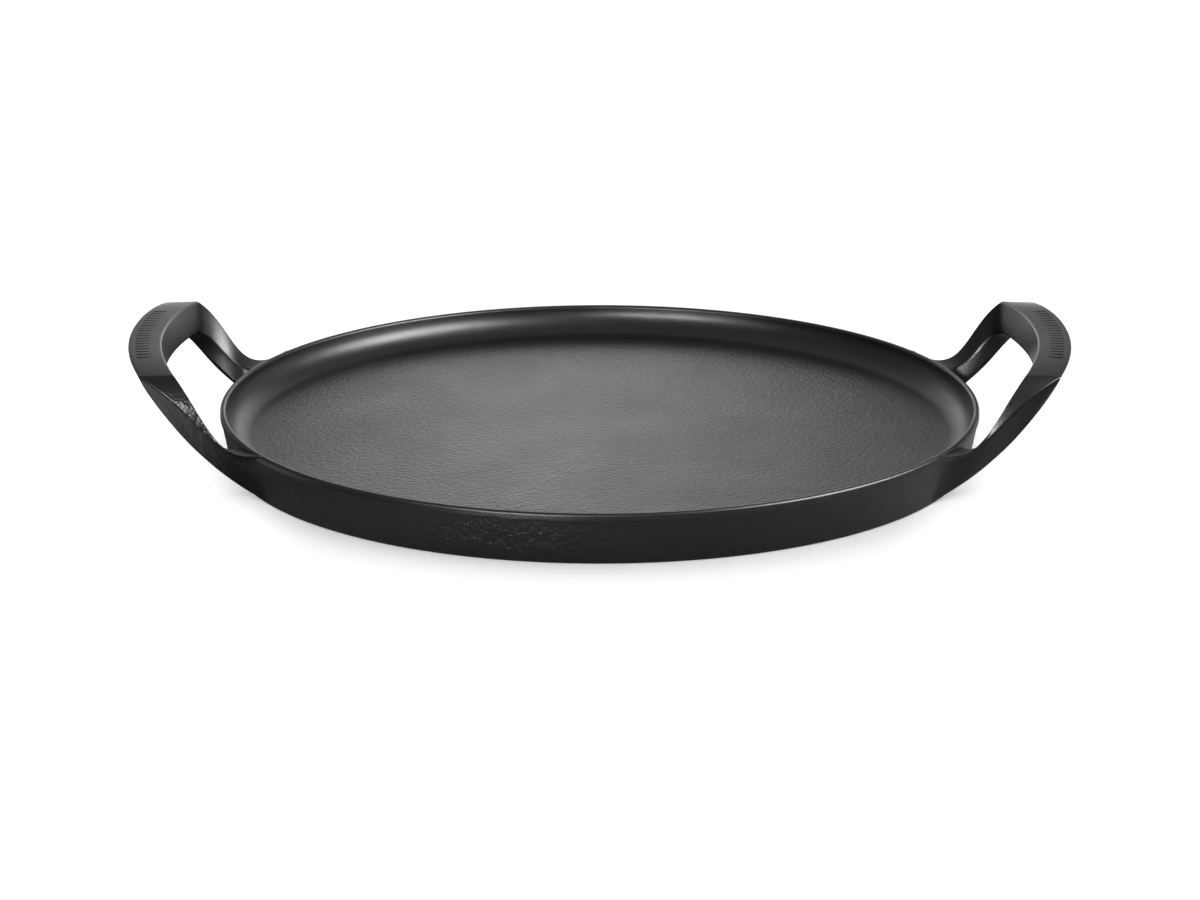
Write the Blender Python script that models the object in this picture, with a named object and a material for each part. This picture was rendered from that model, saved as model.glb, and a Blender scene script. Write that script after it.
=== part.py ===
"""Round cast-iron pizza pan with two raised loop handles, at its real size in metres.

The dish is one turned profile: flat floor, broad cove, thin upright rim. Each handle
is a strap lofted through five edge rails, and the rails are drawn in pan coordinates:
how far beyond the rim, how far to the side of the handle's middle, and how high.
The origin is the middle of the flat base, +Z is up and the handles lie along X.
"""

import math

import bmesh
import bpy
from mathutils import Vector
from mathutils.geometry import interpolate_bezier

# Dish
RIM_RADIUS = 0.1620
RIM_HEIGHT = 0.0220
RIM_THICKNESS = 0.0025
RIM_EDGE_RADIUS = 0.0008
BAND_HEIGHT = 0.0030
BAND_STEP = 0.0004
WALL_DRAFT = 0.0036
BASE_EDGE_RADIUS = 0.0025
FLOOR_THICKNESS = 0.0040
COVE_RADIUS = 0.0165

# Handle crown: the strap that the hand takes, level in the middle and sinking to its ends
HANDLE_HALF_SPAN = 0.0605
CROWN_INNER_REACH = 0.0241
CROWN_WIDTH = 0.0141
CROWN_RISE = 0.0300
CROWN_OUTER_DROP = 0.0002
CROWN_INNER_DEPTH = 0.0149
CROWN_OUTER_DEPTH = 0.0092
CROWN_OUTER_LEAN = 0.0037
CROWN_INNER_LEAN = 0.0009
UNDERSIDE_SHARE = 0.2
ARCH_POWER = 4

# Handle roots on the wall of the dish: side beyond the handle's half span, and height
ROOT_RIDGE_SIDE = 0.0202
ROOT_BELOW_RIM = 0.0002
ROOT_FRONT_SIDE = 0.0120
ROOT_MIDDLE_HEIGHT = 0.0140
ROOT_TOE_SIDE = 0.0145
ROOT_TOE_HEIGHT = 0.0012
ROOT_WINDOW_SIDE = 0.0025
ROOT_LEDGE_DROP = 0.0032
ROOT_WINDOW_TOE_HEIGHT = 0.0050
ROOT_RIDGE_FILLET = 0.0020
ROOT_FRONT_FILLET = 0.0050
ROOT_WINDOW_FILLET = 0.0080
ROOT_ANCHOR = 0.0060
CASTING_GAP = 0.0003

# Each rail's way down the leg. bend: how far before the half span the leg starts, and how
# far the crown has sunk by there. pull: how far in, along and down the leg sets off.
# heel: reach, side beyond the half span and drop below the rim of the pull to its root.
TOP_INNER_BEND = (0.0000, 0.0019)
TOP_INNER_PULL = (0.0072, 0.0151, 0.0133)
TOP_INNER_HEEL = (0.0088, 0.0004, 0.0092)
TOP_OUTER_BEND = (0.0000, 0.0022)
TOP_OUTER_PULL = (0.0107, 0.0187, 0.0045)
TOP_OUTER_HEEL = (0.0135, 0.0094, 0.0151)
LOW_OUTER_BEND = (0.0300, 0.0000)
LOW_OUTER_PULL = (0.0000, 0.0568, 0.0000)
LOW_OUTER_HEEL = (0.0190, -0.0174, 0.0079)
LOW_MIDDLE_BEND = (0.0300, 0.0000)
LOW_MIDDLE_PULL = (0.0000, 0.0550, 0.0000)
LOW_MIDDLE_HEEL = (0.0140, -0.0125, 0.0110)
LOW_INNER_BEND = (0.0045, 0.0000)
LOW_INNER_PULL = (0.0000, 0.0140, 0.0000)
LOW_INNER_HEEL = (0.0100, 0.0055, 0.0070)

# Rounding of the strap's five edges
TOP_INNER_ROUND = 0.0012
TOP_OUTER_ROUND = 0.0022
LOW_OUTER_ROUND = 0.0026
LOW_MIDDLE_ROUND = 0.0020
LOW_INNER_ROUND = 0.0015

# Facets
TURN_STEPS = 96
EDGE_ARC_STEPS = 4
COVE_ARC_STEPS = 10
CROWN_STATIONS = 11
LEG_STATIONS = 20
LEG_CROWDING = 1.4
CORNER_STEPS = 3
MOST_OF_EDGE = 0.45
CORNER_SET_OUT = 0.16
RAIL_SAMPLES = 160
SMOOTH_ANGLE = math.radians(35)
MERGE_DISTANCE = 0.00001


def clear_scene():
    for old in list(bpy.data.objects):
        bpy.data.objects.remove(old, do_unlink=True)


def enamel(name, color, roughness):
    """Satin black enamel, baked on to the casting."""
    material = bpy.data.materials.new(name)
    material.use_nodes = True
    shader = material.node_tree.nodes["Principled BSDF"]
    shader.inputs["Base Color"].default_value = (*color, 1.0)
    shader.inputs["Roughness"].default_value = roughness
    shader.inputs["Metallic"].default_value = 0.0
    return material


def add_object(name, mesh):
    thing = bpy.data.objects.new(name, mesh)
    bpy.context.scene.collection.objects.link(thing)
    return thing


def arc(center_r, center_z, radius, start, end, steps):
    """Points of an arc in the turning plane, angles in degrees from +r towards +z."""
    points = []
    for step in range(steps + 1):
        angle = math.radians(start + (end - start) * step / steps)
        r = center_r + radius * math.cos(angle)
        z = center_z + radius * math.sin(angle)
        points.append((r, z))
    return points


def band_bottom():
    return RIM_HEIGHT - BAND_HEIGHT


def wall_radius(height):
    """Outer radius of the dish's wall at a height, the band under the rim included."""
    if height >= band_bottom():
        return RIM_RADIUS
    share = height / band_bottom()
    return RIM_RADIUS - BAND_STEP - WALL_DRAFT * (1.0 - share)


def dish_profile():
    """From the middle of the floor out, over the rim, down the wall and back under."""
    inner_radius = RIM_RADIUS - RIM_THICKNESS
    edge = min(RIM_EDGE_RADIUS, RIM_THICKNESS / 2.0)
    # The cove can't be taller than the wall that it runs up
    cove = min(COVE_RADIUS, RIM_HEIGHT - FLOOR_THICKNESS - edge)
    cove_center = (inner_radius - cove, FLOOR_THICKNESS + cove)
    base_edge = min(BASE_EDGE_RADIUS, band_bottom() / 2.0)
    base_radius = wall_radius(base_edge)

    points = [(0.0, FLOOR_THICKNESS)]
    points += arc(*cove_center, cove, -90, 0, COVE_ARC_STEPS)
    points += arc(inner_radius + edge, RIM_HEIGHT - edge, edge, 180, 90, EDGE_ARC_STEPS)
    points += arc(RIM_RADIUS - edge, RIM_HEIGHT - edge, edge, 90, 0, EDGE_ARC_STEPS)
    points.append((RIM_RADIUS, band_bottom()))
    points.append((RIM_RADIUS - BAND_STEP, band_bottom() - BAND_STEP))
    points += arc(base_radius - base_edge, base_edge, base_edge, 0, -90, EDGE_ARC_STEPS)
    points.append((0.0, 0.0))
    return points


def turn(name, profile):
    """One body turned about Z from a profile that ends on the axis at both ends."""
    mesh = bpy.data.meshes.new(name)
    vertices = [(r, 0.0, z) for r, z in profile]
    edges = [(index, index + 1) for index in range(len(vertices) - 1)]
    mesh.from_pydata(vertices, edges, [])
    thing = add_object(name, mesh)
    screw = thing.modifiers.new("turned", "SCREW")
    screw.axis = "Z"
    screw.angle = math.tau
    screw.steps = TURN_STEPS
    screw.render_steps = TURN_STEPS
    screw.use_smooth_shade = True
    screw.use_merge_vertices = True
    screw.merge_threshold = MERGE_DISTANCE
    return thing


def build_dish():
    dish = turn("pan_dish", dish_profile())
    dish.data.materials.append(enamel("dish_enamel", (0.028, 0.027, 0.029), 0.42))
    return dish


def build_seat_cutter():
    """The wall of the dish grown by the gap, which shapes the faces of the roots."""
    margin = ROOT_ANCHOR
    low = wall_radius(-margin) + CASTING_GAP
    neck = RIM_RADIUS - BAND_STEP + CASTING_GAP
    rim = RIM_RADIUS + CASTING_GAP
    profile = [
        (0.0, RIM_HEIGHT + margin),
        (rim, RIM_HEIGHT + margin),
        (rim, band_bottom() - CASTING_GAP),
        (neck, band_bottom() - BAND_STEP - CASTING_GAP),
        (low, -margin),
        (0.0, -margin),
    ]
    cutter = turn("root_seat_cutter", profile)
    cutter.hide_render = True
    cutter.display_type = "WIRE"
    return cutter


def rail(crown, bend, pull, heel, root):
    """Half of one edge: a slight arch along the crown, then one curve down the leg.

    Each point holds reach beyond the rim, side and height.
    """
    reach, height = crown
    before_span, sag = bend
    inward, along, down = pull
    heel_reach, heel_side, heel_drop = heel
    root_side, root_height = root
    bend_side = HANDLE_HALF_SPAN - before_span
    arch = []
    for step in range(RAIL_SAMPLES):
        share = step / RAIL_SAMPLES
        arch.append(Vector((reach, bend_side * share, height - sag * share**ARCH_POWER)))
    bent = Vector((reach, bend_side, height - sag))
    leave = bent + Vector((-inward, along, -down))
    arrive = Vector((heel_reach, HANDLE_HALF_SPAN + heel_side, RIM_HEIGHT - heel_drop))
    seat_reach = wall_radius(root_height) - RIM_RADIUS
    seat = Vector((seat_reach, HANDLE_HALF_SPAN + root_side, root_height))
    return arch + interpolate_bezier(bent, leave, arrive, seat, RAIL_SAMPLES)


def walk(points, shares):
    """Points of a polyline at these shares of its length."""
    travelled = [0.0]
    for before, after in zip(points, points[1:]):
        travelled.append(travelled[-1] + (after - before).length)
    walked = []
    index = 0
    for share in shares:
        distance = travelled[-1] * share
        while index < len(points) - 2 and travelled[index + 1] < distance:
            index += 1
        span = travelled[index + 1] - travelled[index]
        part = (distance - travelled[index]) / span
        walked.append(points[index].lerp(points[index + 1], part))
    return walked


def stations_along(points):
    """Even stations on the crown, then ones down the leg that crowd towards the wall.

    Every rail passes the half span, where the crown ends in a crease.
    """
    crease = next(i for i, point in enumerate(points) if point.y >= HANDLE_HALF_SPAN)
    crown_shares = [step / CROWN_STATIONS for step in range(CROWN_STATIONS)]
    leg_shares = []
    for step in range(LEG_STATIONS + 1):
        to_go = 1.0 - step / LEG_STATIONS
        leg_shares.append(1.0 - to_go**LEG_CROWDING)
    return walk(points[: crease + 1], crown_shares) + walk(points[crease:], leg_shares)


def flow_into_wall(points, fillet, way):
    """Spreads a rail sideways in a quarter circle as it nears the wall."""
    eased = []
    for point in points:
        gap = point.x - (wall_radius(point.z) - RIM_RADIUS)
        open_part = fillet - max(0.0, min(gap, fillet))
        spread = fillet - math.sqrt(fillet**2 - open_part**2)
        eased.append(Vector((point.x, point.y + way * spread, point.z)))
    return eased


def handle_rails():
    """The five rails in order round the strap."""
    top = RIM_HEIGHT + CROWN_RISE
    outer_reach = CROWN_INNER_REACH + CROWN_WIDTH
    outer_top = top - CROWN_OUTER_DROP
    low_outer_reach = outer_reach - CROWN_OUTER_LEAN
    low_outer_height = outer_top - CROWN_OUTER_DEPTH
    low_inner_reach = CROWN_INNER_REACH - CROWN_INNER_LEAN
    low_inner_height = top - CROWN_INNER_DEPTH
    low_middle_reach = low_outer_reach + (low_inner_reach - low_outer_reach) * UNDERSIDE_SHARE
    low_middle_height = low_outer_height + (low_inner_height - low_outer_height) * UNDERSIDE_SHARE
    ledge_height = RIM_HEIGHT - ROOT_LEDGE_DROP
    top_inner = rail(
        (CROWN_INNER_REACH, top),
        TOP_INNER_BEND,
        TOP_INNER_PULL,
        TOP_INNER_HEEL,
        (ROOT_RIDGE_SIDE, RIM_HEIGHT - ROOT_BELOW_RIM),
    )
    top_outer = rail(
        (outer_reach, outer_top),
        TOP_OUTER_BEND,
        TOP_OUTER_PULL,
        TOP_OUTER_HEEL,
        (ROOT_FRONT_SIDE, ROOT_MIDDLE_HEIGHT),
    )
    low_outer = rail(
        (low_outer_reach, low_outer_height),
        LOW_OUTER_BEND,
        LOW_OUTER_PULL,
        LOW_OUTER_HEEL,
        (ROOT_TOE_SIDE, ROOT_TOE_HEIGHT),
    )
    low_middle = rail(
        (low_middle_reach, low_middle_height),
        LOW_MIDDLE_BEND,
        LOW_MIDDLE_PULL,
        LOW_MIDDLE_HEEL,
        (ROOT_WINDOW_SIDE, ROOT_WINDOW_TOE_HEIGHT),
    )
    low_inner = rail(
        (low_inner_reach, low_inner_height),
        LOW_INNER_BEND,
        LOW_INNER_PULL,
        LOW_INNER_HEEL,
        (ROOT_WINDOW_SIDE, ledge_height),
    )
    return [top_inner, top_outer, low_outer, low_middle, low_inner]


def to_pan(point):
    """From reach, side and height to x, y and z."""
    radius = RIM_RADIUS + point.x
    return Vector((math.sqrt(radius**2 - point.y**2), point.y, point.z))


def corner_trim(corners, index, rounding):
    """The two edges that leave a corner, and how much of each its rounding takes."""
    to_before = corners[index - 1] - corners[index]
    to_after = corners[(index + 1) % len(corners)] - corners[index]
    room = MOST_OF_EDGE * min(to_before.length, to_after.length)
    return to_before.normalized(), to_after.normalized(), min(rounding, room)


def soften(rails_here, roundings):
    """A ring of points round one section, each corner drawn out into a curve.

    A corner is set out a little first, so that its curve keeps close to the rail.
    """
    corners = []
    for index, point in enumerate(rails_here):
        before, after, trim = corner_trim(rails_here, index, roundings[index])
        corners.append(point - (before + after) * trim * CORNER_SET_OUT)
    ring = []
    for index, corner in enumerate(corners):
        before, after, trim = corner_trim(corners, index, roundings[index])
        start = corner + before * trim
        end = corner + after * trim
        for step in range(CORNER_STEPS + 1):
            share = step / CORNER_STEPS
            ring.append(start.lerp(corner, share).lerp(corner.lerp(end, share), share))
    return ring


def handle_sections():
    """Rings of points along the strap, from one root over the crown to the other."""
    rails = [stations_along(points) for points in handle_rails()]
    fillets = (
        (ROOT_RIDGE_FILLET, 1.0),
        (ROOT_FRONT_FILLET, 1.0),
        (ROOT_FRONT_FILLET, 1.0),
        (ROOT_WINDOW_FILLET, -1.0),
        (ROOT_WINDOW_FILLET, -1.0),
    )
    rails = [flow_into_wall(points, *fillet) for points, fillet in zip(rails, fillets)]
    for points in rails:
        points.append(points[-1] - Vector((ROOT_ANCHOR, 0.0, 0.0)))
    roundings = (
        TOP_INNER_ROUND,
        TOP_OUTER_ROUND,
        LOW_OUTER_ROUND,
        LOW_MIDDLE_ROUND,
        LOW_INNER_ROUND,
    )
    half = [soften([to_pan(point) for point in corners], roundings) for corners in zip(*rails)]
    other_half = [[Vector((p.x, -p.y, p.z)) for p in ring] for ring in reversed(half[1:])]
    return other_half + half


def loft(name, rings):
    """One closed body through rings that all have the same number of points."""
    mesh = bpy.data.meshes.new(name)
    build = bmesh.new()
    loops = [[build.verts.new(point) for point in ring] for ring in rings]
    for here, there in zip(loops, loops[1:]):
        for index in range(len(here)):
            after = (index + 1) % len(here)
            build.faces.new((here[index], here[after], there[after], there[index]))
    build.faces.new(loops[0])
    build.faces.new(loops[-1])
    bmesh.ops.recalc_face_normals(build, faces=build.faces)
    build.to_mesh(mesh)
    build.free()
    mesh.shade_smooth()
    mesh.set_sharp_from_angle(angle=SMOOTH_ANGLE)
    return mesh


def build_handles(cutter):
    """The same strap twice, half a turn apart, each cut to the wall that carries it."""
    strap = loft("loop_handle", handle_sections())
    strap.materials.append(enamel("handle_enamel", (0.034, 0.033, 0.036), 0.36))
    for name, turn_angle in (("handle_right", 0.0), ("handle_left", math.pi)):
        handle = add_object(name, strap)
        handle.rotation_euler.z = turn_angle
        seat = handle.modifiers.new("seat_on_wall", "BOOLEAN")
        seat.operation = "DIFFERENCE"
        seat.solver = "EXACT"
        seat.object = cutter


def main():
    clear_scene()
    build_dish()
    build_handles(build_seat_cutter())


main()
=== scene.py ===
# %% [markdown]
# # A cast-iron pizza pan in black enamel
#
# The pan is one iron casting: a shallow turned dish with a thin upright rim, and a raised
# loop handle at each end. Everything wears the same satin black enamel, baked on, so the
# whole picture is made of soft reflections on a very dark surface. This script dresses the
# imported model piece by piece, then builds the stage, the light and the camera.

import math

import bmesh
import bpy
from mathutils import Matrix, Vector
from mathutils.geometry import interpolate_bezier


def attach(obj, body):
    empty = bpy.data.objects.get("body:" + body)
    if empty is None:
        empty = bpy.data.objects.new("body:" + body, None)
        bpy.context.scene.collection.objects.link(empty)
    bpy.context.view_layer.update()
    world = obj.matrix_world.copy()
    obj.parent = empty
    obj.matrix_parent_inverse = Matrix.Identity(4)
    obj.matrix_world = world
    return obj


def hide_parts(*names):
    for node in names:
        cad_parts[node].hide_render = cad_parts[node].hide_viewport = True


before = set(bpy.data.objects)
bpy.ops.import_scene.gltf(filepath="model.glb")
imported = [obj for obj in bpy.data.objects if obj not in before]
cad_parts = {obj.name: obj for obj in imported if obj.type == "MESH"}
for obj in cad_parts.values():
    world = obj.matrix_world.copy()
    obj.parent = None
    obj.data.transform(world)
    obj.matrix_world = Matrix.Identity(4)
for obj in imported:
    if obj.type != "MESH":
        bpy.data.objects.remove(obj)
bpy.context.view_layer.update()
MM = 0.001
print("CAD nodes:", sorted(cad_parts))

# %% [markdown]
# ## One helper for every node tree
#
# Geometry and materials are both built from nodes here. A node needs settings, values on its
# free sockets, and links into the others. One small function does all three: an input that
# is given a number or a colour is set to it, and an input that is given another node's
# socket is linked to it. Each tree below then reads from top to bottom like a recipe.


# %% Helper: add a node
def feed(tree, node, inputs):
    """Sets each input to its value, or links it to the socket that feeds it."""
    for socket, source in inputs.items():
        if isinstance(source, bpy.types.NodeSocket):
            tree.links.new(source, node.inputs[socket])
        else:
            node.inputs[socket].default_value = source


def add(tree, kind, inputs=None, **settings):
    """A new node with its settings and whatever goes into it."""
    node = tree.nodes.new(kind)
    for name, value in settings.items():
        setattr(node, name, value)
    feed(tree, node, inputs or {})
    return node


def linear(hex_color):
    """An sRGB hex colour as the linear RGBA that the shaders work in."""
    channels = []
    for start in (1, 3, 5):
        value = int(hex_color[start : start + 2], 16) / 255.0
        if value <= 0.04045:
            channels.append(value / 12.92)
        else:
            channels.append(((value + 0.055) / 1.055) ** 2.4)
    return (*channels, 1.0)


print("black enamel base colour, linear:", [round(value, 4) for value in linear("#0c0a0d")[:3]])

# %% [markdown]
# ## The enamel
#
# Vitreous enamel is glass fused on to the iron. It is nearly black underneath with a glassy
# surface on top, so what the eye gets is almost all reflection: weak when seen straight on,
# strong at a grazing angle. Painted highlights would be right from one side only. A
# Principled shader is right from every side, with a very dark base, no metal, and an index of
# refraction that starts from glass at 1.5. This finish is satin and gives back less than a
# clear glaze, so the index comes down to about 1.3.
#
# The surface isn't even. The floor is pebbled by the skin of the casting, the glaze pools in
# slow waves and is a little rougher in some patches, and at two spots the sandy skin of the
# mould shows through it. All of that is noise on Object coordinates, sized in millimetres, so
# it stays put from every side. Real pebbles are about half a millimetre across, too fine to
# show in the picture, so they are drawn at 1.6 to 2 mm.

# %% Enamel: sizes that all its kinds share
PATCH_SIZE = 38.0 * MM
PATCH_RANGE = (0.3, 0.7)
PEBBLE_FADE = 14.0 * MM
PEBBLES_OFF_FLOOR = 0.12
SPOT_CORE = 0.3
# Detail and roughness of each noise pattern
PATTERNS = {
    "patches": (4.0, 0.55),
    "pools": (1.0, 0.5),
    "pebbles": (2.0, 0.6),
    "sand": (3.0, 0.6),
}


# %% Enamel: where the sandy skin shows
def near_spot(tree, place, spot, reach, stretch):
    """1 at a spot, gone at a reach from it; heights count stretch times."""
    moved = add(tree, "ShaderNodeVectorMath", {0: place, 1: spot}, operation="SUBTRACT")
    scaled = add(
        tree, "ShaderNodeVectorMath", {0: moved.outputs[0], 1: (1.0, 1.0, stretch)},
        operation="MULTIPLY",
    )
    away = add(tree, "ShaderNodeVectorMath", {0: scaled.outputs[0]}, operation="LENGTH")
    return add(
        tree, "ShaderNodeMapRange",
        {"Value": away.outputs["Value"], "From Min": reach, "From Max": SPOT_CORE * reach},
        interpolation_type="SMOOTHSTEP",
    ).outputs["Result"]


# %% Enamel: how the pebbles keep to the floor
def on_floor(tree, place, floor_edge):
    """1 on the floor of the dish, little beyond the radius of its edge."""
    flat = add(tree, "ShaderNodeVectorMath", {0: place, 1: (1.0, 1.0, 0.0)}, operation="MULTIPLY")
    out = add(tree, "ShaderNodeVectorMath", {0: flat.outputs[0]}, operation="LENGTH")
    return add(
        tree, "ShaderNodeMapRange",
        {
            "Value": out.outputs["Value"],
            "From Min": floor_edge,
            "From Max": floor_edge - PEBBLE_FADE,
            "To Min": PEBBLES_OFF_FLOOR,
        },
        interpolation_type="SMOOTHSTEP",
    ).outputs["Result"]


# %% Enamel: the material
def black_enamel(name, colors, ior, roughness, pebbles, pools, floor_edge=None, cast=None):
    """Pebbles and pools: (size, height) in mm. With a floor_edge the pebbles keep to the floor.

    colors and roughness: the two ends between which the patches vary.
    cast: the size and height in mm of the sandy skin, and the spot, reach and stretch of it.
    """
    material = bpy.data.materials.new(name)
    material.use_nodes = True
    tree = material.node_tree
    place = add(tree, "ShaderNodeTexCoord").outputs["Object"]

    sizes = {"patches": PATCH_SIZE, "pools": pools[0] * MM, "pebbles": pebbles[0] * MM}
    if cast:
        sizes["sand"] = cast["size"] * MM
    noise = {}
    for part, size in sizes.items():
        detail, fineness = PATTERNS[part]
        noise[part] = add(
            tree, "ShaderNodeTexNoise",
            {"Vector": place, "Scale": 1.0 / size, "Detail": detail, "Roughness": fineness},
        ).outputs["Fac"]

    tint = add(
        tree, "ShaderNodeMix",
        {0: noise["patches"], 6: linear(colors[0]), 7: linear(colors[1])},
        data_type="RGBA",
    )
    gloss = add(
        tree, "ShaderNodeMapRange",
        {
            "Value": noise["patches"],
            "From Min": PATCH_RANGE[0],
            "From Max": PATCH_RANGE[1],
            "To Min": roughness[0],
            "To Max": roughness[1],
        },
    )

    grain = noise["pebbles"]
    if floor_edge:
        grain = add(
            tree, "ShaderNodeMath", {0: grain, 1: on_floor(tree, place, floor_edge)},
            operation="MULTIPLY",
        ).outputs[0]
    layers = [(noise["pools"], pools[1]), (grain, pebbles[1])]
    if cast:
        spot = near_spot(tree, place, cast["spot"], cast["reach"], cast["stretch"])
        shown = add(tree, "ShaderNodeMath", {0: noise["sand"], 1: spot}, operation="MULTIPLY")
        layers.append((shown.outputs[0], cast["height"]))

    skin = {}
    for height, distance in layers:
        bump = add(
            tree, "ShaderNodeBump",
            {"Height": height, "Strength": 1.0, "Distance": distance * MM, **skin},
        )
        skin = {"Normal": bump.outputs["Normal"]}

    surface = {"IOR": ior, "Base Color": tint.outputs[2], "Roughness": gloss.outputs["Result"]}
    feed(tree, tree.nodes["Principled BSDF"], {**surface, **skin})
    return material


# %% Enamel: three kinds
# The dish: satin, pebbled on the floor, with cast skin on the front of the wall
dish_enamel = black_enamel(
    "dish_enamel", ("#0c0a0d", "#100e11"), ior=1.31, roughness=(0.33, 0.39),
    pebbles=(2.0, 0.45), pools=(9.0, 0.08), floor_edge=151.0 * MM,
    cast={"size": 3.0, "height": 1.3, "spot": (-0.038, -0.157, 0.010), "reach": 0.065,
          "stretch": 5.2},
)
# The handles: smoother, with cast skin on the left-hand near leg
handle_enamel = black_enamel(
    "handle_enamel", ("#0b090c", "#100e11"), ior=1.30, roughness=(0.26, 0.32),
    pebbles=(1.6, 0.05), pools=(9.0, 0.04),
    cast={"size": 3.0, "height": 0.75, "spot": (-0.166, -0.072, 0.024), "reach": 0.034,
          "stretch": 1.0},
)
# The grip ribs: worn matt, so they hardly shine
rib_enamel = black_enamel(
    "rib_enamel", ("#050405", "#080708"), ior=1.09, roughness=(0.45, 0.50),
    pebbles=(1.6, 0.05), pools=(7.0, 0.05),
)
print("materials:", dish_enamel.name, handle_enamel.name, rib_enamel.name)

# %% [markdown]
# ## From a geometry tree to a piece
#
# The dish and the grip ribs follow rules, so Geometry Nodes make them. Each tree has named
# inputs for its sizes, like the dimensions on a drawing. It could stay live as a modifier, but
# the export and the other tools want plain meshes. So a tree is run once on an empty carrier,
# its result is kept as a mesh, and the carrier goes.


# %% Helper: a geometry tree with named inputs
def geometry_tree(name, sizes, counts):
    """A tree with a float input for each size, an integer for each count, and a material."""
    tree = bpy.data.node_groups.new(name, "GeometryNodeTree")
    for size in sizes:
        tree.interface.new_socket(size, in_out="INPUT", socket_type="NodeSocketFloat")
    for count in counts:
        tree.interface.new_socket(count, in_out="INPUT", socket_type="NodeSocketInt")
    tree.interface.new_socket("Finish", in_out="INPUT", socket_type="NodeSocketMaterial")
    tree.interface.new_socket("Geometry", in_out="OUTPUT", socket_type="NodeSocketGeometry")
    return tree, add(tree, "NodeGroupInput").outputs


def close_tree(tree, given, geometry):
    """The last nodes of every tree: real geometry, smooth, with its finish on it."""
    real = add(tree, "GeometryNodeRealizeInstances", {"Geometry": geometry})
    smooth = add(tree, "GeometryNodeSetShadeSmooth", {"Geometry": real.outputs[0]})
    finish = add(
        tree, "GeometryNodeSetMaterial",
        {"Geometry": smooth.outputs[0], "Material": given["Finish"]},
    )
    add(tree, "NodeGroupOutput", {"Geometry": finish.outputs[0]})


# %% Helper: the plain mesh that a tree makes
def mesh_from(tree, values):
    """Runs a tree on an empty mesh with these input values and returns a plain mesh."""
    carrier = bpy.data.objects.new("carrier", bpy.data.meshes.new("carrier"))
    bpy.context.scene.collection.objects.link(carrier)
    modifier = carrier.modifiers.new("tree", "NODES")
    modifier.node_group = tree
    for socket in tree.interface.items_tree:
        if socket.in_out == "INPUT":
            modifier[socket.identifier] = values[socket.name]
    graph = bpy.context.evaluated_depsgraph_get()
    mesh = bpy.data.meshes.new_from_object(carrier.evaluated_get(graph), depsgraph=graph)
    bpy.data.objects.remove(carrier)
    return mesh


def outward(mesh):
    """Normals recalculated to point out of a closed body."""
    build = bmesh.new()
    build.from_mesh(mesh)
    bmesh.ops.recalc_face_normals(build, faces=build.faces)
    open_edges = sum(1 for edge in build.edges if len(edge.link_faces) != 2)
    volume = build.calc_volume(signed=True)
    build.to_mesh(mesh)
    build.free()
    print(mesh.name, "open edges", open_edges, "volume in cm3", round(volume * 1e6, 2))
    return mesh


# %% Helper: put a piece on the model
def add_piece(name, mesh, slot, *nodes):
    """Puts a finished mesh on the model, riding on its one body."""
    piece = bpy.data.objects.new(name, mesh)
    mesh.name = name
    bpy.context.scene.collection.objects.link(piece)
    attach(piece, "root")
    if nodes:
        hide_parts(*nodes)
    print(name, len(mesh.vertices), "vertices,", len(mesh.polygons), "faces")
    return piece


# %% [markdown]
# ## The dish
#
# The dish is a body of revolution, so its whole shape is in one profile: flat floor, cove,
# the rim with its small rounded edges, a slightly raised band outside, the tapered wall and
# the flat base. It could be cut from a cylinder step by step, but a lathe would turn it from
# one template, and Geometry Nodes does the same: a polyline with ten corners, each with its
# own fillet, swept round a circle as wide as the rim.
#
# Radius, height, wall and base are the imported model's. The floor is 6 mm higher and its cove
# tighter than there, as the line where the far cove meets the floor shows on the real pan,
# and the edges of the rim and the base are rounded a little differently.

# %% Dish: sizes
RIM_RADIUS = 162.0 * MM
RIM_HEIGHT = 22.0 * MM
BAND_HEIGHT = 3.0 * MM
BAND_STEP = 0.4 * MM
WALL_DRAFT = 3.6 * MM
DISH_SIZES = {
    "Rim Radius": RIM_RADIUS,
    "Rim Height": RIM_HEIGHT,
    "Rim Thickness": 2.5 * MM,
    "Rim Edge": 1.15 * MM,
    "Band Height": BAND_HEIGHT,
    "Band Step": BAND_STEP,
    "Wall Draft": WALL_DRAFT,
    "Base Edge": 1.2 * MM,
    "Floor Height": 10.0 * MM,
    "Cove Radius": 10.5 * MM,
}
TURN_STEPS = 256
BAND_FILLET = 0.25 * MM
NECK_FILLET = 0.3 * MM
# Extra points on the floor and the base keep their long faces away from the fillets
FLOOR_HOLD = 2.0 * MM
BASE_HOLD = 6.0 * MM
WELD = 0.01 * MM
print("dish sizes in mm:", {name: round(size / MM, 2) for name, size in DISH_SIZES.items()})


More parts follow.
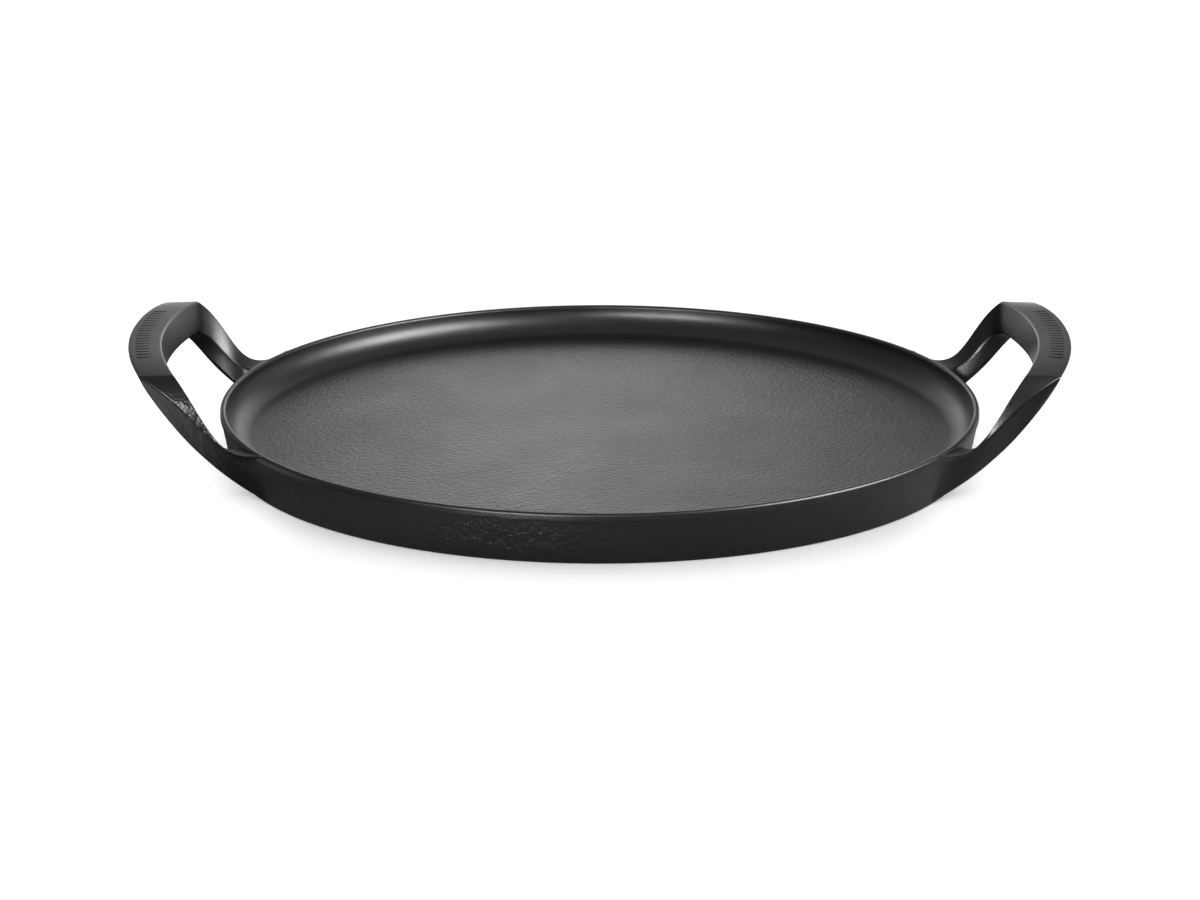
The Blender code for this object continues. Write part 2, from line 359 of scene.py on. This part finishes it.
# %% Dish: the corners of its profile
def dish_corners(tree, given):
    """Each corner: radius, height, fillet and the number of steps in the fillet."""
    at = {"rim": given["Rim Radius"], "top": given["Rim Height"], "floor": given["Floor Height"]}
    for name, start, taken in (
        ("inner", "rim", given["Rim Thickness"]),
        ("cove start", "inner", given["Cove Radius"]),
        ("floor hold", "cove start", FLOOR_HOLD),
        ("band bottom", "top", given["Band Height"]),
        ("neck", "rim", given["Band Step"]),
        ("neck top", "band bottom", given["Band Step"]),
        ("foot", "neck", given["Wall Draft"]),
        ("base hold", "foot", BASE_HOLD),
    ):
        less = add(tree, "ShaderNodeMath", {0: at[start], 1: taken}, operation="SUBTRACT")
        at[name] = less.outputs[0]
    return [
        (0.0, at["floor"], 0.0, 1),
        (at["floor hold"], at["floor"], 0.0, 1),
        (at["inner"], at["floor"], given["Cove Radius"], 40),
        (at["inner"], at["top"], given["Rim Edge"], 7),
        (at["rim"], at["top"], given["Rim Edge"], 7),
        (at["rim"], at["band bottom"], BAND_FILLET, 3),
        (at["neck"], at["neck top"], NECK_FILLET, 3),
        (at["foot"], 0.0, given["Base Edge"], 8),
        (at["base hold"], 0.0, 0.0, 1),
        (0.0, 0.0, 0.0, 1),
    ]


# %% Dish: the profile, drawn from its corners
def dish_profile(tree, given):
    """A filleted polyline, measured outwards from the rim and downwards."""
    corners = dish_corners(tree, given)
    index = add(tree, "GeometryNodeInputIndex").outputs[0]
    where, fillet, steps = (
        add(tree, "GeometryNodeIndexSwitch", {"Index": index}, data_type=kind)
        for kind in ("VECTOR", "FLOAT", "INT")
    )
    for switch in (where, fillet, steps):
        for _ in range(len(corners) - len(switch.index_switch_items)):
            switch.index_switch_items.new()
    for socket, (radius, height, rounding, count) in enumerate(corners, start=1):
        out = add(tree, "ShaderNodeMath", {0: radius, 1: given["Rim Radius"]}, operation="SUBTRACT")
        down = add(tree, "ShaderNodeMath", {0: height, 1: -1.0}, operation="MULTIPLY")
        point = add(tree, "ShaderNodeCombineXYZ", {"X": out.outputs[0], "Y": down.outputs[0]})
        feed(tree, where, {socket: point.outputs[0]})
        feed(tree, fillet, {socket: rounding})
        feed(tree, steps, {socket: count})

    chain = add(tree, "GeometryNodeMeshLine", {"Count": len(corners)})
    placed = add(
        tree, "GeometryNodeSetPosition",
        {"Geometry": chain.outputs[0], "Position": where.outputs[0]},
    )
    outline = add(tree, "GeometryNodeMeshToCurve", {"Mesh": placed.outputs[0]})
    return add(
        tree, "GeometryNodeFilletCurve",
        {
            "Curve": outline.outputs[0],
            "Count": steps.outputs[0],
            "Radius": fillet.outputs[0],
            "Limit Radius": True,
        },
        mode="POLY",
    ).outputs[0]


# %% Dish: turn the profile
def dish_tree():
    tree, given = geometry_tree("turned_dish", DISH_SIZES, ["Turn Steps"])
    circle = add(
        tree, "GeometryNodeCurvePrimitiveCircle",
        {"Resolution": given["Turn Steps"], "Radius": given["Rim Radius"]},
    )
    upright = add(
        tree, "GeometryNodeSetCurveNormal", {"Curve": circle.outputs[0]}, mode="Z_UP"
    )
    turned = add(
        tree, "GeometryNodeCurveToMesh",
        {"Curve": upright.outputs[0], "Profile Curve": dish_profile(tree, given)},
    )
    closed = add(
        tree, "GeometryNodeMergeByDistance", {"Geometry": turned.outputs[0], "Distance": WELD}
    )
    close_tree(tree, given, closed.outputs[0])
    return tree


dish_values = {**DISH_SIZES, "Turn Steps": TURN_STEPS, "Finish": dish_enamel}
dish_mesh = outward(mesh_from(dish_tree(), dish_values))
dish = add_piece("enamelled_dish", dish_mesh, "dish_enamel", "pan_dish")

# %% [markdown]
# ## The loop handles
#
# Each handle is a strap that rises from two roots on the wall to a level crown. Its section
# changes all the way: flat on top at the crown, turned on edge down the legs, and spread into
# the wall at the roots. A swept curve keeps one section, so it can't do that. A loft can: the
# strap's five edges are drawn as rails, a ring of points joins them at each station, and the
# corners of the ring are rounded by an amount that changes along the strap.
#
# The rails are written in pan coordinates: reach beyond the rim, side from the handle's
# middle, and height. The crown then follows the rim's curve by itself. Three rails are the
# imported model's own. Two are drawn closer to the lines of light on the real handle: on the
# leg, top_outer runs up to the inner edge, and low_inner is fuller on the window's side.

# %% Handle: the five rails, in millimetres
HALF_SPAN = 60.5
# crown (reach, height), bend (before the half span, sag), pull (in, along, down),
# heel (reach, side beyond the half span, height), root (side beyond the half span, height)
RAILS = {
    "top_inner": ((24.1, 52.0), (0.0, 1.9), (7.2, 15.1, 13.3), (8.8, 0.4, 12.8), (20.2, 21.8)),
    "top_outer": ((38.2, 51.8), (0.0, 2.2), (18.4, 13.5, 10.4), (12.0, 5.5, 17.5), (13.0, 17.0)),
    "low_outer": ((34.5, 42.6), (30.0, 0.0), (0.0, 56.8, 0.0), (19.0, -17.4, 14.1), (14.5, 1.2)),
    "low_middle": ((32.2, 41.5), (30.0, 0.0), (0.0, 55.0, 0.0), (14.0, -12.5, 11.0), (2.5, 5.0)),
    "low_inner": ((23.2, 37.1), (4.5, 0.0), (0.0, 11.0, 0.0), (9.5, -1.0, 15.8), (2.5, 18.8)),
}
SAG_POWER = 4
# Rounding of each edge at the crown's middle, at the crease and at the root
ROUNDINGS = {
    "top_inner": (1.2, 1.2, 0.9),
    "top_outer": (2.2, 1.2, 2.5),
    "low_outer": (2.6, 2.2, 1.6),
    "low_middle": (2.0, 2.0, 2.0),
    "low_inner": (1.5, 1.2, 0.9),
}
# Fillet with which each edge flows into the wall, and the way it spreads: 1 away from the
# handle's middle, -1 towards it
ROOT_FILLETS = {
    "top_inner": (2.0, 1),
    "top_outer": (5.0, 1),
    "low_outer": (5.0, 1),
    "low_middle": (8.0, -1),
    "low_inner": (8.0, -1),
}
TUCK = 0.35
RAIL_SAMPLES = 400
CROWN_STATIONS = 40
LEG_STATIONS = 90
STATION_CROWDING = 1.7
print("rails:", ", ".join(RAILS), "with", CROWN_STATIONS + LEG_STATIONS + 1, "stations a side")


# %% Handle: one rail
def wall_reach(height):
    """How far the wall's outside stands beyond the rim's radius at a height, in mm."""
    band_bottom = (RIM_HEIGHT - BAND_HEIGHT) / MM
    if height >= band_bottom:
        return 0.0
    return -BAND_STEP / MM - WALL_DRAFT / MM * (1.0 - height / band_bottom)


def rail(crown, bend, pull, heel, root):
    """Half of one edge: a slight arch along the crown, then one curve down the leg."""
    reach, height = crown
    bend_side = HALF_SPAN - bend[0]
    arch = []
    for step in range(RAIL_SAMPLES):
        share = step / RAIL_SAMPLES
        arch.append(Vector((reach, bend_side * share, height - bend[1] * share**SAG_POWER)))
    bent = Vector((reach, bend_side, height - bend[1]))
    leave = bent + Vector((-pull[0], pull[1], -pull[2]))
    arrive = Vector((heel[0], HALF_SPAN + heel[1], heel[2]))
    seat = Vector((wall_reach(root[1]), HALF_SPAN + root[0], root[1]))
    return arch + interpolate_bezier(bent, leave, arrive, seat, RAIL_SAMPLES)


def walk(points, shares):
    """Points of a polyline at these shares of its length."""
    travelled = [0.0]
    for before, after in zip(points, points[1:]):
        travelled.append(travelled[-1] + (after - before).length)
    walked = []
    index = 0
    for share in shares:
        distance = travelled[-1] * share
        while index < len(points) - 2 and travelled[index + 1] < distance:
            index += 1
        span = travelled[index + 1] - travelled[index]
        walked.append(points[index].lerp(points[index + 1], (distance - travelled[index]) / span))
    return walked


# %% Handle: stations along a rail, and its fillet at the wall
def stations(points):
    """Even stations on the crown, then ones down the leg that crowd towards the wall."""
    crease = next(i for i, point in enumerate(points) if point.y >= HALF_SPAN - 1e-6)
    crown = walk(points[: crease + 1], [i / CROWN_STATIONS for i in range(CROWN_STATIONS)])
    left = [1.0 - i / LEG_STATIONS for i in range(LEG_STATIONS + 1)]
    return crown + walk(points[crease:], [1.0 - share**STATION_CROWDING for share in left])


def flow_into_wall(points, fillet, way):
    """Spreads a rail sideways in a quarter circle as it nears the wall, and tucks its end in."""
    eased = []
    for point in points:
        gap = point.x - wall_reach(point.z)
        open_part = fillet - max(0.0, min(gap, fillet))
        spread = fillet - math.sqrt(fillet**2 - open_part**2)
        eased.append(Vector((point.x, point.y + way * spread, point.z)))
    return eased + [eased[-1] - Vector((TUCK, 0.0, 0.0))]


def to_pan(point):
    """From reach, side and height in mm to x, y and z in metres."""
    radius = RIM_RADIUS + point.x * MM
    side = point.y * MM
    return Vector((math.sqrt(radius**2 - side**2), side, point.z * MM))


# %% Handle: how much each corner is rounded
CROWN_BLEND_START = 0.6
LEG_BLEND_END = 0.6
MOST_TRIM = 0.46
CORNER_SET_OUT = 0.16
CORNER_STEPS = 7


def smooth_step(share):
    return share * share * (3.0 - 2.0 * share)


def rounding_at(three, station):
    """Rounding in metres at a station: crown's middle, crease and root, blended."""
    middle, crease, root = three
    if station < CROWN_STATIONS:
        along = max(0.0, station / CROWN_STATIONS - CROWN_BLEND_START)
        share = smooth_step(along / (1.0 - CROWN_BLEND_START))
        return (middle + (crease - middle) * share) * MM
    down = (station - CROWN_STATIONS) / (LEG_BLEND_END * LEG_STATIONS)
    return (crease + (root - crease) * smooth_step(min(1.0, down))) * MM


def corner_trim(corners, index, rounding):
    """The two edges that leave a corner, and how much of each its rounding takes."""
    to_before = corners[index - 1] - corners[index]
    to_after = corners[(index + 1) % len(corners)] - corners[index]
    room = MOST_TRIM * min(to_before.length, to_after.length)
    return to_before.normalized(), to_after.normalized(), min(rounding, room)


def ring_at(rails_here, roundings):
    """One ring of points round the strap, each corner drawn out into a small curve.

    A corner is set out a little first, so that its curve keeps close to the rail.
    """
    corners = []
    for index, point in enumerate(rails_here):
        before, after, trim = corner_trim(rails_here, index, roundings[index])
        corners.append(point - (before + after) * trim * CORNER_SET_OUT)
    ring = []
    for index, corner in enumerate(corners):
        before, after, trim = corner_trim(corners, index, roundings[index])
        start = corner + before * trim
        end = corner + after * trim
        for step in range(CORNER_STEPS + 1):
            share = step / CORNER_STEPS
            ring.append(start.lerp(corner, share).lerp(corner.lerp(end, share), share))
    return ring


# %% Handle: the loft
def loft(rings):
    """One closed mesh through rings that all have the same number of points."""
    build = bmesh.new()
    loops = [[build.verts.new(point) for point in ring] for ring in rings]
    for here, there in zip(loops, loops[1:]):
        for index in range(len(here)):
            after = (index + 1) % len(here)
            build.faces.new((here[index], here[after], there[after], there[index]))
    build.faces.new(loops[0])
    build.faces.new(loops[-1])
    mesh = bpy.data.meshes.new("loop_handle")
    build.to_mesh(mesh)
    build.free()
    mesh.shade_smooth()
    return outward(mesh)


def handle_mesh():
    """Rings through the five rails on one half, and the same rings mirrored on the other."""
    rails = [
        flow_into_wall(stations(rail(*RAILS[name])), *ROOT_FILLETS[name]) for name in RAILS
    ]
    half = []
    for station, corners in enumerate(zip(*rails)):
        roundings = [rounding_at(ROUNDINGS[name], station) for name in RAILS]
        half.append(ring_at([to_pan(point) for point in corners], roundings))
    other = [[Vector((p.x, -p.y, p.z)) for p in ring] for ring in reversed(half[1:])]
    return loft(other + half)


# %% Handle: one casting, used at both ends
HALF_TURN = Matrix.Rotation(math.pi, 4, "Z")
right_mesh = handle_mesh()
right_mesh.materials.append(handle_enamel)
left_mesh = right_mesh.copy()
left_mesh.transform(HALF_TURN)
handle_right = add_piece("loop_handle_right", right_mesh, "handle_enamel", "handle_right")
handle_left = add_piece("loop_handle_left", left_mesh, "handle_enamel", "handle_left")

# %% [markdown]
# ## Grip ribs on the crowns
#
# The flat top of each crown carries a row of low raised bars that give a glove some hold.
# They are matt where the strap is satin, so they show as dark bars. They could be set by
# hand, but they are equal bars that follow the crown's arc, which is what Geometry Nodes is
# for: an arc is cut into points, one soft bar is put on each, turned to face the middle of
# the pan, and the whole row sinks with the slight arch of the crown.

# %% Ribs: sizes
RIB_SIZES = {
    "Arc Radius": RIM_RADIUS + 31.0 * MM,
    "Arc Half Width": 37.0 * MM,
    "Crown Height": 51.84 * MM,
    "Crown Sag": 2.0 * MM,
    "Half Span": HALF_SPAN * MM,
    "Rib Length": 9.0 * MM,
    "Rib Width": 2.1 * MM,
    "Rib Height": 0.33 * MM,
    "Rib Root": 0.6 * MM,
}
RIB_COUNT = 19
BAR_CUTS = {"Vertices X": 8, "Vertices Y": 3, "Vertices Z": 3}
BAR_SMOOTHING = 2
print("ribs:", RIB_COUNT, "on each crown, each", RIB_SIZES["Rib Height"] / MM, "mm high")


# %% Ribs: where each one stands
def rib_places(tree, given):
    """The point on the crown for each rib, and its turn towards the middle of the pan."""
    index = add(tree, "GeometryNodeInputIndex").outputs[0]
    last = add(tree, "ShaderNodeMath", {0: given["Rib Count"], 1: 1.0}, operation="SUBTRACT")
    share = add(tree, "ShaderNodeMath", {0: index, 1: last.outputs[0]}, operation="DIVIDE")
    narrow = add(
        tree, "ShaderNodeMath", {0: given["Arc Half Width"], 1: -1.0}, operation="MULTIPLY"
    )
    side = add(
        tree, "ShaderNodeMapRange",
        {
            "Value": share.outputs[0],
            "To Min": narrow.outputs[0],
            "To Max": given["Arc Half Width"],
        },
    ).outputs["Result"]
    part = add(tree, "ShaderNodeMath", {0: side, 1: given["Arc Radius"]}, operation="DIVIDE")
    turn = add(tree, "ShaderNodeMath", {0: part.outputs[0]}, operation="ARCSINE").outputs[0]
    cosine = add(tree, "ShaderNodeMath", {0: turn}, operation="COSINE").outputs[0]
    out = add(tree, "ShaderNodeMath", {0: cosine, 1: given["Arc Radius"]}, operation="MULTIPLY")

    run = add(tree, "ShaderNodeMath", {0: side, 1: given["Half Span"]}, operation="DIVIDE")
    fourth = add(
        tree, "ShaderNodeMath", {0: run.outputs[0], 1: float(SAG_POWER)}, operation="POWER"
    )
    sag = add(
        tree, "ShaderNodeMath", {0: fourth.outputs[0], 1: given["Crown Sag"]}, operation="MULTIPLY"
    )
    rise = add(
        tree, "ShaderNodeMath", {0: given["Rib Height"], 1: given["Rib Root"]},
        operation="SUBTRACT",
    )
    middle = add(tree, "ShaderNodeMath", {0: rise.outputs[0], 1: 0.5}, operation="MULTIPLY")
    level = add(
        tree, "ShaderNodeMath", {0: given["Crown Height"], 1: middle.outputs[0]}, operation="ADD"
    )
    height = add(
        tree, "ShaderNodeMath", {0: level.outputs[0], 1: sag.outputs[0]}, operation="SUBTRACT"
    )
    place = add(
        tree, "ShaderNodeCombineXYZ", {"X": out.outputs[0], "Y": side, "Z": height.outputs[0]}
    )
    facing = add(tree, "ShaderNodeCombineXYZ", {"Z": turn})
    return place.outputs[0], facing.outputs[0]


# %% Ribs: the tree
def rib_tree():
    tree, given = geometry_tree("grip_ribs", RIB_SIZES, ["Rib Count"])
    place, facing = rib_places(tree, given)
    thick = add(
        tree, "ShaderNodeMath", {0: given["Rib Height"], 1: given["Rib Root"]}, operation="ADD"
    )
    size = add(
        tree, "ShaderNodeCombineXYZ",
        {"X": given["Rib Length"], "Y": given["Rib Width"], "Z": thick.outputs[0]},
    )
    bar = add(tree, "GeometryNodeMeshCube", {"Size": size.outputs[0], **BAR_CUTS})
    soft = add(
        tree, "GeometryNodeSubdivisionSurface", {"Mesh": bar.outputs[0], "Level": BAR_SMOOTHING}
    )
    line = add(tree, "GeometryNodeMeshLine", {"Count": given["Rib Count"]})
    points = add(
        tree, "GeometryNodeSetPosition", {"Geometry": line.outputs[0], "Position": place}
    )
    row = add(
        tree, "GeometryNodeInstanceOnPoints",
        {"Points": points.outputs[0], "Instance": soft.outputs[0], "Rotation": facing},
    )
    close_tree(tree, given, row.outputs[0])
    return tree


# %% Ribs: make them
rib_values = {**RIB_SIZES, "Rib Count": RIB_COUNT, "Finish": rib_enamel}
ribs_mesh = outward(mesh_from(rib_tree(), rib_values))
ribs_left_mesh = ribs_mesh.copy()
ribs_left_mesh.transform(HALF_TURN)
ribs_right = add_piece("grip_ribs_right", ribs_mesh, "handle_enamel")
ribs_left = add_piece("grip_ribs_left", ribs_left_mesh, "handle_enamel")

# %% [markdown]
# ## Stage
#
# The pan stands on a pale table that runs on without a visible horizon. A table that only
# glows would be white and lose the pan's shadow, and one that is only lit would keep a wide
# grey shadow. So the table is pale paper lit by the world, with a little glow of its own on
# top that only the camera sees, and more of it at both sides, where the real shadow ends
# close to the pan. What the enamel mirrors is the paper without its glow, in a colour of its
# own with painted shade that darkens it towards both sides, as a dim studio round a narrow
# table would.

# %% Stage: the table's sizes and levels
TABLE_HALF = 8.0
PAPER = "#f8f8f8"
# The paper as reflections see it, then the painted shade it takes on at both sides
MIRRORED_PAPER_AND_SIDE_SHADE = ("#f0eef0", "#706d70")
MIRRORED_SHADE_HEART = 0.05
MIRRORED_SHADE_REACH = (0.13, 0.23)
TABLE_GLOW = (0.16, 0.50)
GLOW_HEART = 0.0
GLOW_REACH = (0.11, 0.17)
WHITE = (1.0, 1.0, 1.0, 1.0)


# %% Stage: the table's material
def side_share(tree, along, heart, reach):
    """0 in a broad band about a heart line, 1 out at both sides."""
    off = add(tree, "ShaderNodeMath", {0: along, 1: heart}, operation="SUBTRACT")
    away = add(tree, "ShaderNodeMath", {0: off.outputs[0]}, operation="ABSOLUTE")
    return add(
        tree, "ShaderNodeMapRange",
        {"Value": away.outputs[0], "From Min": reach[0], "From Max": reach[1]},
        interpolation_type="SMOOTHSTEP",
    ).outputs["Result"]


def bare_material(name):
    """A new material with an empty tree, and the Object coordinates in it."""
    material = bpy.data.materials.new(name)
    material.use_nodes = True
    tree = material.node_tree
    tree.nodes.clear()
    place = add(tree, "ShaderNodeTexCoord").outputs["Object"]
    return material, tree, add(tree, "ShaderNodeSeparateXYZ", {"Vector": place}).outputs


def table_material():
    material, tree, along = bare_material("pale_table")
    path = add(tree, "ShaderNodeLightPath").outputs
    # Painted shade: what reflections see of the paper grows darker towards both sides
    mirrored = add(
        tree, "ShaderNodeMix",
        {
            0: side_share(tree, along["X"], MIRRORED_SHADE_HEART, MIRRORED_SHADE_REACH),
            6: linear(MIRRORED_PAPER_AND_SIDE_SHADE[0]),
            7: linear(MIRRORED_PAPER_AND_SIDE_SHADE[1]),
        },
        data_type="RGBA",
    )
    color = add(
        tree, "ShaderNodeMix",
        {0: path["Is Glossy Ray"], 6: linear(PAPER), 7: mirrored.outputs[2]},
        data_type="RGBA",
    )
    paper = add(tree, "ShaderNodeBsdfDiffuse", {"Color": color.outputs[2]})
    glow = add(
        tree, "ShaderNodeMapRange",
        {
            "Value": side_share(tree, along["X"], GLOW_HEART, GLOW_REACH),
            "To Min": TABLE_GLOW[0],
            "To Max": TABLE_GLOW[1],
        },
    )
    to_camera = add(
        tree, "ShaderNodeMath", {0: path["Is Camera Ray"], 1: glow.outputs["Result"]},
        operation="MULTIPLY",
    )
    light = add(tree, "ShaderNodeEmission", {"Color": WHITE, "Strength": to_camera.outputs[0]})
    both = add(tree, "ShaderNodeAddShader", {0: paper.outputs[0], 1: light.outputs[0]})
    add(tree, "ShaderNodeOutputMaterial", {"Surface": both.outputs[0]})
    return material


# %% Stage: lay the table
def sheet(name, half, material):
    """A flat square about the origin, this far to each side, with its material on it."""
    mesh = bpy.data.meshes.new(name)
    corners = [(-half, -half, 0.0), (half, -half, 0.0), (half, half, 0.0), (-half, half, 0.0)]
    mesh.from_pydata(corners, [], [(0, 1, 2, 3)])
    mesh.materials.append(material)
    laid = bpy.data.objects.new(name, mesh)
    bpy.context.scene.collection.objects.link(laid)
    return laid


table = sheet("table", TABLE_HALF, table_material())
print("table:", 2.0 * TABLE_HALF, "m square")

# %% [markdown]
# ## World
#
# The studio has white walls that light everything evenly, and no lamps. The world is plain
# white at strength 1 for the camera and for diffuse light, so a colour shows about as it is
# written, and the background is white. Black enamel is made of reflections, though, and those
# come from a room that is dimmer than its white sweep. An environment picture could carry
# that room, but a few nodes do it: glossy rays find a dim room with a lighter ceiling, and
# the faintest violet in it, as on the real finish.

# %% World: levels and nodes
STUDIO_TINT = (1.0, 0.965, 1.0, 1.0)
WORLD_LEVEL = 1.0
ROOM_LEVEL = 0.45
CEILING_LEVEL = 0.75
CEILING_FROM = (0.45, 0.80)


def studio_world():
    world = bpy.data.worlds.new("studio")
    world.use_nodes = True
    sky = world.node_tree
    sky.nodes.clear()
    glossy = add(sky, "ShaderNodeLightPath").outputs["Is Glossy Ray"]
    heading = add(sky, "ShaderNodeTexCoord").outputs["Generated"]
    compass = add(sky, "ShaderNodeSeparateXYZ", {"Vector": heading}).outputs
    ceiling = add(
        sky, "ShaderNodeMapRange",
        {
            "Value": compass["Z"],
            "From Min": CEILING_FROM[0],
            "From Max": CEILING_FROM[1],
            "To Min": ROOM_LEVEL,
            "To Max": CEILING_LEVEL,
        },
        interpolation_type="SMOOTHSTEP",
    )
    level = add(
        sky, "ShaderNodeMix", {0: glossy, 2: WORLD_LEVEL, 3: ceiling.outputs["Result"]},
        data_type="FLOAT",
    )
    tint = add(sky, "ShaderNodeMix", {0: glossy, 6: WHITE, 7: STUDIO_TINT}, data_type="RGBA")
    backdrop = add(
        sky, "ShaderNodeBackground", {"Color": tint.outputs[2], "Strength": level.outputs[0]}
    )
    add(sky, "ShaderNodeOutputWorld", {"Surface": backdrop.outputs[0]})
    return world


bpy.context.scene.world = studio_world()
print("world:", WORLD_LEVEL, "all round, in reflections", ROOM_LEVEL, "to", CEILING_LEVEL)

# %% [markdown]
# ## Reflection cards
#
# A photographer shapes the light on a glossy black object with cards and soft boxes. Area
# lamps could stand in for them, but they would light the table too and throw more shadows.
# Here each card is a plane with a soft-edged glow, laid over whatever is behind it, that only
# reflections see. It draws a highlight and nothing else.
#
# Three cards stand behind the pan, and the floor and the far wall mirror them: a broad dim
# backdrop, a brighter one near the horizon, and a low strip. The key stands high on the
# right and the fill in front on the left, and each draws a long soft band in the cove. The
# leg card lies beside the left-hand near leg, and the patch card stands in front of it.


# %% Cards: their glow
def card_material(name, level, across, upright):
    """A glow of this level, full up to the first share of its half size, gone at the second."""
    material, tree, along = bare_material(name)
    fades = []
    for axis, (inner, outer) in zip("XY", (across, upright)):
        away = add(tree, "ShaderNodeMath", {0: along[axis]}, operation="ABSOLUTE")
        fade = add(
            tree, "ShaderNodeMapRange",
            {"Value": away.outputs[0], "From Min": outer, "From Max": inner},
            interpolation_type="SMOOTHSTEP",
        )
        fades.append(fade.outputs["Result"])
    both = add(tree, "ShaderNodeMath", {0: fades[0], 1: fades[1]}, operation="MULTIPLY")
    strength = add(tree, "ShaderNodeMath", {0: both.outputs[0], 1: level}, operation="MULTIPLY")
    glow = add(
        tree, "ShaderNodeEmission", {"Color": STUDIO_TINT, "Strength": strength.outputs[0]}
    )
    clear = add(tree, "ShaderNodeBsdfTransparent")
    laid = add(tree, "ShaderNodeAddShader", {0: glow.outputs[0], 1: clear.outputs[0]})
    add(tree, "ShaderNodeOutputMaterial", {"Surface": laid.outputs[0]})
    return material


# %% Cards: stand one up
PEAK = (0.0, 1.0)
SOFT = (0.4, 1.0)
BROAD = (0.3, 1.0)


def card(name, place, aim, size, level, across=SOFT, upright=SOFT):
    """A card at a place in metres that faces an aim, width and height in metres."""
    glowing = sheet(name, 1.0, card_material(name, level, across, upright))
    glowing.location = place
    glowing.rotation_euler = (Vector(aim) - Vector(place)).to_track_quat("-Z", "Y").to_euler()
    glowing.scale = (size[0] / 2.0, size[1] / 2.0, 1.0)
    glowing.visible_camera = False
    glowing.visible_diffuse = False
    glowing.visible_shadow = False
    print(name, "level", level)


# %% Cards: behind the pan
card("backdrop_card", (-0.03, 0.85, 0.30), aim=(-0.03, 0.0, 0.30), size=(1.2, 0.9), level=0.7,
     across=(0.0, 0.7), upright=(0.1, 1.0))
card("horizon_card", (-0.03, 0.42, 0.122), aim=(-0.03, 0.0, 0.122), size=(0.42, 0.13), level=2.8,
     across=PEAK, upright=PEAK)
card("low_card", (0.0, 0.44, 0.03), aim=(0.0, 0.0, 0.03), size=(1.6, 0.07), level=2.4,
     across=BROAD, upright=PEAK)

# %% Cards: at the sides and in front
card("key_card", (0.90, -0.29, 0.60), aim=(0.0, 0.0, 0.03), size=(1.3, 0.85), level=46.0,
     upright=BROAD)
card("fill_card", (-0.48, -1.10, 0.34), aim=(0.0, 0.0, 0.03), size=(0.85, 0.30), level=78.0)
card("leg_card", (-0.235, -0.075, 0.001), aim=(-0.235, -0.075, 1.0), size=(0.16, 0.14), level=2.2,
     across=PEAK, upright=PEAK)
card("patch_card", (-0.178, -0.741, 0.229), aim=(-0.166, -0.072, 0.024), size=(0.16, 0.16),
     level=20.0)

# %% [markdown]
# ## Camera
#
# The camera stands where the photograph was taken from: 2 m from the middle of the pan and
# looking 16.6 degrees down, with a long lens. It could be placed by eye, but the rim is a
# circle of a known size, and the shape and place of its ellipse in the picture fix the
# distance, the height and the tilt. The tiny shift puts the picture's middle where the
# photograph's is.

# %% Camera: place and lens
PHOTO_SIZE = (1200.0, 900.0)
AXIS_PIXEL = (599.79, 450.47)
SENSOR_WIDTH = 36.0
LENS = 139.785
CAMERA_PLACE = (0.0, -1.9166, 0.5714)
CAMERA_DIP = 16.601

camera_data = bpy.data.cameras.new("camera")
camera_data.sensor_width = SENSOR_WIDTH
camera_data.lens = LENS
camera_data.shift_x = (PHOTO_SIZE[0] / 2.0 - AXIS_PIXEL[0]) / PHOTO_SIZE[0]
camera_data.shift_y = (AXIS_PIXEL[1] - PHOTO_SIZE[1] / 2.0) / PHOTO_SIZE[0]
camera = bpy.data.objects.new("camera", camera_data)
bpy.context.scene.collection.objects.link(camera)
camera.location = CAMERA_PLACE
camera.rotation_euler = (math.radians(90.0 - CAMERA_DIP), 0.0, 0.0)
bpy.context.scene.camera = camera
bpy.context.scene.view_settings.view_transform = "Standard"
print("camera:", CAMERA_PLACE, "lens", LENS, "mm, dips", CAMERA_DIP, "degrees")
